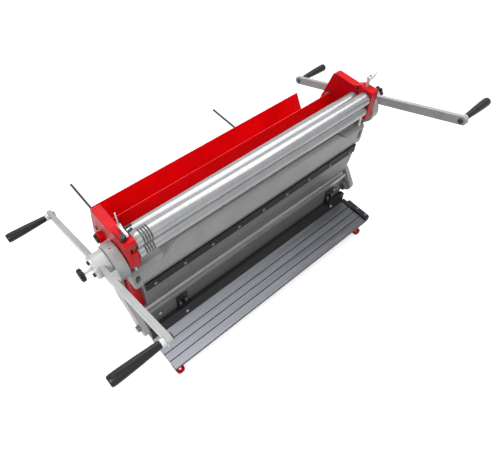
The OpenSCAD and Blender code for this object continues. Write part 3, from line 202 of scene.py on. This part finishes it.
class Finish:
    """One procedural material, with short ways to add grain, colour change and relief."""

    def __init__(self, name, color, rough, metal=0.0, coat=0.0, shine=0.5):
        self.material = bpy.data.materials.new(name)
        self.material.use_nodes = True
        self.tree = self.material.node_tree
        self.shader = self.tree.nodes["Principled BSDF"]
        self.color = color
        put = self.shader.inputs
        put["Base Color"].default_value = (*color, 1.0)
        put["Roughness"].default_value = rough
        put["Metallic"].default_value = metal
        put["Coat Weight"].default_value = coat
        put["Coat Roughness"].default_value = COAT_ROUGH
        put["Specular IOR Level"].default_value = shine
        self.place = self.tree.nodes.new("ShaderNodeTexCoord")
        self.height = None

    def grain(self, scale, stretch=EVEN, detail=3.0, rough=0.6):
        """Noise with a scale in waves per metre; a stretch under 1 draws it out along that axis."""
        turn = self.tree.nodes.new("ShaderNodeMapping")
        turn.inputs["Scale"].default_value = stretch
        self.tree.links.new(self.place.outputs["Object"], turn.inputs["Vector"])
        noise = self.tree.nodes.new("ShaderNodeTexNoise")
        noise.inputs["Scale"].default_value = scale
        noise.inputs["Detail"].default_value = detail
        noise.inputs["Roughness"].default_value = rough
        self.tree.links.new(turn.outputs[0], noise.inputs["Vector"])
        return noise.outputs["Fac"]

    def painted_light_fall(self, source, share):
        """A grain that also falls by the given share from the left end to the right; the fall is painted light,
        lighter at the left end.
        """
        parts = self.tree.nodes.new("ShaderNodeSeparateXYZ")
        self.tree.links.new(self.place.outputs["Object"], parts.inputs[0])
        painted_fall = self.spread(parts.outputs["X"], share, -share, LIGHT_FALL_LEFT, LIGHT_FALL_RIGHT)
        both = self.tree.nodes.new("ShaderNodeMath")
        both.operation = "ADD"
        self.tree.links.new(source, both.inputs[0])
        self.tree.links.new(painted_fall, both.inputs[1])
        return both.outputs[0]

    def spread(self, source, low, high, start=GRAIN_LOW, stop=GRAIN_HIGH):
        """Maps a grain to the numbers between low and high."""
        span = self.tree.nodes.new("ShaderNodeMapRange")
        span.inputs["From Min"].default_value = start
        span.inputs["From Max"].default_value = stop
        span.inputs["To Min"].default_value = low
        span.inputs["To Max"].default_value = high
        self.tree.links.new(source, span.inputs["Value"])
        return span.outputs["Result"]

    def tone(self, source, dark, light, start=GRAIN_LOW, stop=GRAIN_HIGH):
        """Varies the base colour between dark and light times itself."""
        span = self.tree.nodes.new("ShaderNodeMix")
        span.data_type = "RGBA"
        for label, times in (("A", dark), ("B", light)):
            shade = tuple(min(c * times, 1.0) for c in self.color)
            span.inputs[label].default_value = (*shade, 1.0)
        self.tree.links.new(self.spread(source, 0.0, 1.0, start, stop), span.inputs["Factor"])
        self.tree.links.new(span.outputs["Result"], self.shader.inputs["Base Color"])

    def sheen(self, source, low, high):
        """Varies the roughness between two values."""
        self.tree.links.new(self.spread(source, low, high), self.shader.inputs["Roughness"])

    def relief(self, source, depth):
        """Adds a bump of the given depth in metres."""
        bump = self.tree.nodes.new("ShaderNodeBump")
        bump.inputs["Distance"].default_value = depth
        bump.inputs["Strength"].default_value = 1.0
        self.tree.links.new(source, bump.inputs["Height"])
        if self.height is not None:
            self.tree.links.new(self.height.outputs[0], bump.inputs["Normal"])
        self.tree.links.new(bump.outputs[0], self.shader.inputs["Normal"])
        self.height = bump


def cast_paint(name, color, rough, coat=0.0, lumps=0.0004, shine=0.5):
    """Paint over a cast surface: soft lumps, fine orange peel, slightly uneven gloss."""
    peel = lumps * 0.2
    f = Finish(name, color, rough, coat=coat, shine=shine)
    f.tone(f.grain(9.0, detail=4.0), 0.88, 1.05)
    f.sheen(f.grain(30.0), rough * 0.85, rough * 1.2)
    f.relief(f.grain(60.0, detail=2.0), lumps)
    f.relief(f.grain(420.0, detail=1.0), peel)
    return f.material


def drawn_steel(name, color, rough, stretch, metal=0.6, mottle=5.0, shine=0.5):
    """Machined steel: fine lines drawn out along one axis over a faint mottle."""
    line_depth = 0.000003
    f = Finish(name, color, rough, metal, shine=shine)
    f.tone(f.grain(mottle, detail=5.0), 0.88, 1.05)
    f.sheen(f.grain(180.0, stretch), rough * 0.8, rough * 1.25)
    f.relief(f.grain(320.0, stretch, detail=2.0), line_depth)
    return f.material


def ground_steel(name, color, rough, metal):
    """Cylindrically ground steel: faint rings and a very even sheen, no relief."""
    f = Finish(name, color, rough, metal)
    f.tone(f.grain(40.0, ACROSS, detail=2.0), 0.95, 1.03)
    f.sheen(f.grain(8.0), rough * 0.95, rough * 1.08)
    return f.material


def moulding(name, color, rough, shine):
    """Satin moulded plastic or rubber with a fine even grain."""
    grain_depth = 0.00003
    f = Finish(name, color, rough, shine=shine)
    f.sheen(f.grain(60.0), rough * 0.85, rough * 1.2)
    f.relief(f.grain(900.0, detail=1.0), grain_depth)
    return f.material


def planed_iron(name, color):
    """Planed table top: long uneven streaks along the machine, with painted light making it paler at its left end
    and darker to the right.
    """
    streak_depth = 0.00001
    f = Finish(name, color, 0.36, 0.12, shine=0.3)
    streaks = f.grain(34.0, (0.05, 1, 1), detail=6.0, rough=0.75)
    # The streaks are the iron's own tone; their fall from left to right is painted light.
    f.tone(f.painted_light_fall(streaks, 0.72), 0.26, 1.36, -0.1, 1.1)
    f.sheen(f.grain(120.0, (0.03, 1, 1)), 0.3, 0.5)
    f.relief(f.grain(260.0, ALONG, detail=2.0), streak_depth)
    return f.material


FINE_MOTTLE = 40.0

red_casting = cast_paint("red_casting_paint", (0.63, 0.002, 0.006), 0.36, shine=0.16)
red_sheet = cast_paint("red_sheet_paint", (0.72, 0.001, 0.003), 0.36, lumps=0.00005, shine=0.1)
beam_paint = cast_paint("beam_paint", (0.31, 0.31, 0.305), 0.34, coat=0.15)
light_casting = cast_paint("light_casting_paint", (0.52, 0.525, 0.52), 0.34, coat=0.2)
# The straps and crank bars carry the same light paint as the hubs; these darker copies are painted shade for their
# front and side faces.
shaded_strap_paint = cast_paint("shaded_strap_paint", (0.36, 0.365, 0.36), 0.36, coat=0.2)
shaded_bar_paint = cast_paint("shaded_bar_paint", (0.40, 0.405, 0.40), 0.34, coat=0.2, lumps=0.0001)
ram_iron = cast_paint("ram_iron", (0.125, 0.124, 0.12), 0.42, lumps=0.0003, shine=0.3)

roll_steel = ground_steel("ground_roll_steel", (0.34, 0.343, 0.348), 0.2, 0.55)
# Near-black for the rolls' wire grooves: painted shade in the recesses, the same ground steel as the rolls.
groove_painted_shade = ground_steel("roll_groove_painted_shade", (0.10, 0.10, 0.10), 0.35, 0.3)

plate_steel = drawn_steel("punch_plate_steel", (0.17, 0.165, 0.16), 0.42, ALONG, 0.3, shine=0.35)
blade_steel = drawn_steel("blade_steel", (0.4, 0.41, 0.42), 0.3, ALONG)
die_iron = drawn_steel("die_iron", (0.3, 0.3, 0.3), 0.3, ALONG)
gear_steel = drawn_steel("gear_steel", (0.3, 0.3, 0.3), 0.35, EVEN)
bronze = drawn_steel("bearing_bronze", (0.5, 0.34, 0.14), 0.35, EVEN)

# Near-black for every table face but its planed top: its sides and the faces in its scribed grooves.
table_dark_faces = drawn_steel("table_dark_faces_finish", (0.02, 0.02, 0.02), 0.5, ALONG, 0.0, shine=0.15)
strip_black = drawn_steel("black_strip_finish", (0.010, 0.0095, 0.009), 0.45, ALONG, 0.0, shine=0.1)
worn_black = drawn_steel("worn_black_finish", (0.018, 0.017, 0.016), 0.4, ALONG, 0.0, shine=0.2)
gauge_black = drawn_steel("black_gauge_finish", (0.011, 0.011, 0.011), 0.36, EVEN, 0.0, shine=0.2)
black_bolt = drawn_steel("black_bolt_finish", (0.025, 0.026, 0.03), 0.3, EVEN, 0.2, shine=0.35)
dark_rod = drawn_steel("dark_rod_steel", (0.085, 0.085, 0.09), 0.3, ALONG_ROD, 0.4, shine=0.3)

zinc = drawn_steel("bright_zinc", (0.60, 0.61, 0.62), 0.26, EVEN, 0.4, FINE_MOTTLE)
screw_steel = drawn_steel("screw_steel", (0.2, 0.2, 0.205), 0.28, EVEN, 0.4, FINE_MOTTLE)
dull_zinc = drawn_steel("dull_zinc", (0.16, 0.16, 0.165), 0.32, EVEN, 0.4, FINE_MOTTLE)

table_top = planed_iron("planed_table_iron", (0.42, 0.43, 0.475))
grip_plastic = moulding("grip_plastic", (0.006, 0.006, 0.0065), 0.27, 0.3)
rubber = moulding("black_rubber", (0.006, 0.006, 0.006), 0.55, 0.2)


# CAD nodes taken over with their edges softened

MERGE = 0.00001
FLAT_WITHIN = math.radians(0.4)
SHARP_FROM = math.radians(32.0)
SCREW_SHARP_FROM = math.radians(30.0)
FLAT_FACE_PULL = 80


def smooth_to_edges(bm, sharp_from):
    """Smooth faces that still meet at a crisp edge where they turn by more than an angle."""
    for edge in bm.edges:
        edge.smooth = edge.calc_face_angle(0.0) < sharp_from
    for face in bm.faces:
        face.smooth = True


def mesh_from(bm, name):
    mesh = bpy.data.meshes.new(name)
    bm.to_mesh(mesh)
    bm.free()
    return mesh


def closed_copy(name):
    """A CAD node's triangles joined to one closed skin, flat faces made whole."""
    bm = bmesh.new()
    bm.from_mesh(nodes[name].data)
    bmesh.ops.remove_doubles(bm, verts=bm.verts, dist=MERGE)
    bmesh.ops.dissolve_limit(bm, angle_limit=FLAT_WITHIN, verts=bm.verts, edges=bm.edges)
    return bm


def soften(piece, width, steps):
    """Rounds the crisp edges and keeps the flat faces flat in the light."""
    soft = piece.modifiers.new("soft_edges", "BEVEL")
    soft.width = width
    soft.segments = steps
    soft.limit_method = "ANGLE"
    soft.angle_limit = SHARP_FROM
    soft.use_clamp_overlap = False
    flat = piece.modifiers.new("flat_faces", "WEIGHTED_NORMAL")
    flat.keep_sharp = False
    flat.weight = FLAT_FACE_PULL


def finished(name, material, width=0.0, steps=1, zone=None):
    """Stands for a CAD node: same form, softened edges.

    A zone is a second material and the test of place and normal that picks its faces.
    """
    bm = closed_copy(name)
    smooth_to_edges(bm, SHARP_FROM)
    if zone:
        for face in bm.faces:
            face.material_index = int(zone[1](face.calc_center_median(), face.normal))
    mesh = mesh_from(bm, name + "_finished")
    mesh.materials.append(material)
    if zone:
        mesh.materials.append(zone[0])
    piece = place_in_scene(name + "_finished", mesh)
    if width:
        soften(piece, width, steps)
    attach(piece, carrier[name])
    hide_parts(name)


def dress(names, material, width, steps):
    for name in names:
        finished(name, material, width, steps)


def plain_finish(material, *names):
    """A better material for CAD nodes that keep their own mesh."""
    for name in names:
        mesh = nodes[name].data
        mesh.materials.clear()
        mesh.materials.append(material)


def axle(body):
    """A turning body's axis in the machine's side view, to the tenth of a millimetre."""
    return tuple(round(value, 4) for value in axles[body][1:])


def in_grooves(axis):
    """Picks the faces of a roll's wire grooves, which lie under its ground surface; they get the painted shade."""
    groove_top = 0.0252
    barrel_end = 0.515
    return lambda p, n: (abs(p.x) < barrel_end
                         and math.hypot(p.y - axis[0], p.z - axis[1]) < groove_top)


def on_table_top(p, n):
    """Picks the planed faces, and not those down in the scribed grooves."""
    facing_up = 0.9
    scratch = 0.0005
    return n.z > facing_up and p.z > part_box("table")[1][2] - scratch


def on_pivot_cap(p, n):
    """Picks the rubber cap beyond the cast boss."""
    cap_start = 0.5775
    return abs(p.x) > cap_start


ROLLS = ("upper_roll", "lower_roll", "rear_roll")


def dress_machine():
    """Every CAD node's finish: names, material, edge width, bevel steps."""
    dress(("left_end_frame", "right_end_frame"), red_casting, 0.0016, 2)
    dress(("rear_tray",), red_sheet, 0.0008, 2)
    dress(("upper_beam",), beam_paint, 0.0025, 3)
    dress(("crank_hubs", "left_eccentric", "right_eccentric"), light_casting, 0.0012, 2)
    dress(("left_connecting_rod", "right_connecting_rod"), shaded_strap_paint, 0.0015, 2)
    dress(("crank_bars",), shaded_bar_paint, 0.0012, 2)
    for roll in ROLLS:
        finished(roll, roll_steel, zone=(groove_painted_shade, in_grooves(axle(roll))))
    dress(("crank_shaft",), roll_steel, 0.0005, 1)
    dress(("punch_plates",), plate_steel, 0.0005, 1)
    dress(("lower_blade", "upper_blade"), blade_steel, 0.0003, 1)
    dress(("ram", "ram_keepers", "roll_bearing_blocks"), ram_iron, 0.001, 2)
    dress(("bending_die",), die_iron, 0.0008, 2)
    finished("table", table_dark_faces, 0.0006, 1, zone=(table_top, on_table_top))
    dress(("clamp_strip",), strip_black, 0.0006, 2)
    dress(("hold_down_bar",), worn_black, 0.0006, 2)
    dress(("hold_down_brackets", "side_gauge"), gauge_black, 0.0006, 2)
    dress(("release_bolt", "head_pins", "release_peg", "beam_bolts", "hub_cap_bolts"),
          black_bolt, 0.0005, 1)
    dress(("gauge_rods", "gauge_bar", "grip_bolts", "gauge_clamps"), dark_rod, 0.0006, 1)
    dress(("jack_screws", "cam_stud", "cam_lever", "release_lever", "hub_caps", "grip_collars",
           "left_clutch_rod", "right_clutch_rod", "ram_bolts"), zinc, 0.0005, 1)
    dress(("side_gauge_screw", "tray_bolts", "left_ram_pin", "right_ram_pin", "hold_down_rods"),
          dull_zinc, 0.0005, 1)
    dress(("left_front_grip", "left_rear_grip", "right_front_grip", "right_rear_grip"),
          grip_plastic, 0.001, 2)
    dress(("left_clutch_knob", "right_clutch_knob"), grip_plastic, 0.0012, 2)
    finished("pivot_caps", red_casting, 0.0006, 1, zone=(rubber, on_pivot_cap))
    plain_finish(bronze, "shaft_bushes")
    plain_finish(gear_steel, "shaft_gear", "roll_pinion")


# Cap screws of the clamp strip, one Geometry Nodes tree on a row of points

HEAD_SIDES = 24
SOCKET_SIDES = 6
SHANK_SIDES = 16
RIM_SHARE = 0.88


class ScrewTree:
    """Socket head screws that stand on points and look along -Y, with their sizes as inputs."""

    SIZES = ("Head Radius", "Head Height", "Corner", "Socket Radius", "Socket Depth",
             "Shank Radius", "Shank Length")

    def __init__(self, material):
        self.tree = bpy.data.node_groups.new("cap_screws", "GeometryNodeTree")
        face = self.tree.interface
        for way in ("INPUT", "OUTPUT"):
            face.new_socket("Geometry", in_out=way, socket_type="NodeSocketGeometry")
        for label in self.SIZES:
            face.new_socket(label, in_out="INPUT", socket_type="NodeSocketFloat")
        self.given = self.node("NodeGroupInput").outputs
        self.stand_on_points(self.join(self.shank(), self.head()), material)

    def node(self, kind, **links):
        """A node whose inputs, named with _ for a space, are linked to the given sockets."""
        node = self.tree.nodes.new(kind)
        for label, source in links.items():
            self.tree.links.new(source, node.inputs[label.replace("_", " ")])
        return node

    def reckon(self, operation, a, b):
        node = self.tree.nodes.new("ShaderNodeMath")
        node.operation = operation
        for socket, value in zip(node.inputs, (a, b)):
            if isinstance(value, float):
                socket.default_value = value
            else:
                self.tree.links.new(value, socket)
        return node.outputs[0]

    def bar(self, sides, radius, length, middle):
        """A bar along Z whose middle is at the given height, and its top face."""
        bar = self.node("GeometryNodeMeshCylinder", Radius=radius, Depth=length)
        bar.inputs["Vertices"].default_value = sides
        lift = self.node("ShaderNodeCombineXYZ", Z=middle)
        shift = self.node("GeometryNodeTransform", Geometry=bar.outputs["Mesh"],
                          Translation=lift.outputs[0])
        return shift.outputs[0], bar.outputs["Top"]

    def head(self):
        """A round head with a drawn-in rim and a hexagon socket."""
        given = self.given
        straight = self.reckon("SUBTRACT", given["Head Height"], given["Corner"])
        middle = self.reckon("MULTIPLY", straight, 0.5)
        drum, top = self.bar(HEAD_SIDES, given["Head Radius"], straight, middle)
        rim = self.node("GeometryNodeExtrudeMesh", Mesh=drum, Selection=top,
                        Offset_Scale=given["Corner"])
        narrow = self.node("GeometryNodeScaleElements", Geometry=rim.outputs["Mesh"],
                           Selection=rim.outputs["Top"])
        narrow.inputs["Scale"].default_value = RIM_SHARE
        cutter, _ = self.bar(SOCKET_SIDES, given["Socket Radius"],
                             self.reckon("MULTIPLY", given["Socket Depth"], 2.0),
                             given["Head Height"])
        hollow = self.node("GeometryNodeMeshBoolean", Mesh_1=narrow.outputs[0], Mesh_2=cutter)
        hollow.operation = "DIFFERENCE"
        return hollow.outputs[0]

    def shank(self):
        length = self.given["Shank Length"]
        under = self.reckon("MULTIPLY", length, -0.5)
        return self.bar(SHANK_SIDES, self.given["Shank Radius"], length, under)[0]

    def join(self, *solids):
        whole = self.tree.nodes.new("GeometryNodeJoinGeometry")
        for solid in solids:
            self.tree.links.new(solid, whole.inputs[0])
        return whole.outputs[0]

    def stand_on_points(self, screw, material):
        lay = self.node("GeometryNodeTransform", Geometry=screw)
        lay.inputs["Rotation"].default_value = (math.pi / 2, 0, 0)
        stand = self.node("GeometryNodeInstanceOnPoints", Points=self.given["Geometry"],
                          Instance=lay.outputs[0])
        real = self.node("GeometryNodeRealizeInstances", Geometry=stand.outputs[0])
        paint = self.node("GeometryNodeSetMaterial", Geometry=real.outputs[0])
        paint.inputs["Material"].default_value = material
        self.node("NodeGroupOutput", Geometry=paint.outputs[0])


def screw_row(name, node, places, material, sizes):
    """Cap screws at the given places, in the stead of a CAD node of plain ones."""
    row = bpy.data.meshes.new(name + "_places")
    row.from_pydata(places, [], [])
    holder = place_in_scene(name + "_places", row)
    work = holder.modifiers.new("screws", "NODES")
    work.node_group = ScrewTree(material).tree
    for socket in work.node_group.interface.items_tree:
        if socket.in_out == "INPUT" and socket.name in sizes:
            work[socket.identifier] = sizes[socket.name]
    bpy.context.view_layer.update()
    graph = bpy.context.evaluated_depsgraph_get()
    mesh = bpy.data.meshes.new_from_object(holder.evaluated_get(graph))
    bpy.data.objects.remove(holder)
    bm = bmesh.new()
    bm.from_mesh(mesh)
    smooth_to_edges(bm, SCREW_SHARP_FROM)
    bm.to_mesh(mesh)
    bm.free()
    screws = place_in_scene(name, mesh)
    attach(screws, carrier[node])
    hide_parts(node)


def clamp_strip_screws():
    """Nine screws, from the strip's front face and the box of the CAD's own screws."""
    count = 9
    strip_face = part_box("clamp_strip")[0][1]
    low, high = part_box("clamp_screws")
    head = strip_face - low[1]
    radius = (high[2] - low[2]) / 2
    first = low[0] + radius
    pitch = (high[0] - low[0] - 2 * radius) / (count - 1)
    places = [(first + i * pitch, strip_face, low[2] + radius) for i in range(count)]
    screw_row("clamp_cap_screws", "clamp_screws", places, screw_steel, {
        "Head Radius": radius, "Head Height": head, "Corner": head * 0.2,
        "Socket Radius": radius * 0.5, "Socket Depth": head * 0.6,
        "Shank Radius": radius * 0.5, "Shank Length": high[1] - strip_face})


# Small pieces that the CAD leaves to the looks

def joined_rows(bm, rows, closed):
    """Skins rows of points, in a ring or from first to last with both ends capped."""
    after = rows[1:] + rows[:1] if closed else rows[1:]
    for here, there in zip(rows, after):
        for i in range(len(here)):
            j = (i + 1) % len(here)
            bm.faces.new((here[i], here[j], there[j], there[i]))
    if not closed:
        bm.faces.new(rows[0])
        bm.faces.new(rows[-1])
    bmesh.ops.recalc_face_normals(bm, faces=bm.faces)


def plate_angles():
    """Angle irons behind both ends of the punch plates, hung under the upper beam."""
    foot = 0.320
    beam_under = 0.4505
    leg = 0.024
    wide = 0.033
    thick = 0.006
    edge = 0.0008
    plates_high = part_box("punch_plates")[1]
    back = plates_high[1]
    bm = bmesh.new()
    for side in (-1, 1):
        out = side * plates_high[0]
        outline = [(out, back), (out - side * wide, back), (out - side * wide, back + thick),
                   (out - side * thick, back + thick), (out - side * thick, back + leg),
                   (out, back + leg)]
        joined_rows(bm, [[bm.verts.new((x, y, z)) for x, y in outline]
                         for z in (foot, beam_under)], closed=False)
    bmesh.ops.bevel(bm, geom=bm.edges[:], offset=edge, segments=2, affect="EDGES", profile=0.5)
    mesh = mesh_from(bm, "plate_angles")
    mesh.materials.append(dark_rod)
    piece = place_in_scene("plate_angles", mesh)
    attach(piece, "frame")


def roll_gap_shade_ring(roll):
    """A black ring with softened corners that fills the gap between a roll's right end and its bearing: painted
    shade standing in for the dark gap.
    """
    sides = 48
    inner, outer = 0.0135, 0.0272
    low, high = 0.5202, 0.5228
    corner = (high - low) * 0.2
    middle_y, middle_z = axle(roll)
    outline = [(low, inner), (low, outer - corner), (low + corner, outer),
               (high - corner, outer), (high, outer - corner), (high, inner)]
    turns = [2 * math.pi * i / sides for i in range(sides)]
    bm = bmesh.new()
    rows = [[bm.verts.new((x, middle_y + r * math.cos(a), middle_z + r * math.sin(a)))
             for a in turns] for x, r in outline]
    joined_rows(bm, rows, closed=True)
    mesh = mesh_from(bm, roll + "_gap_shade_ring")
    # The black of the rubber material stands in for the shade in the gap.
    mesh.materials.append(rubber)
    seal = place_in_scene(roll + "_gap_shade_ring", mesh)
    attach(seal, "frame")


dress_machine()
clamp_strip_screws()
plate_angles()
# Black rings in the gaps at the rolls' right ends: painted shade.
for roll in ROLLS:
    roll_gap_shade_ring(roll)

place_camera()
light_world()
lay_floor()
for lamp_name, setting in LAMPS.items():
    soft_lamp(lamp_name, *setting)

bpy.context.scene.view_settings.view_transform = "Standard"
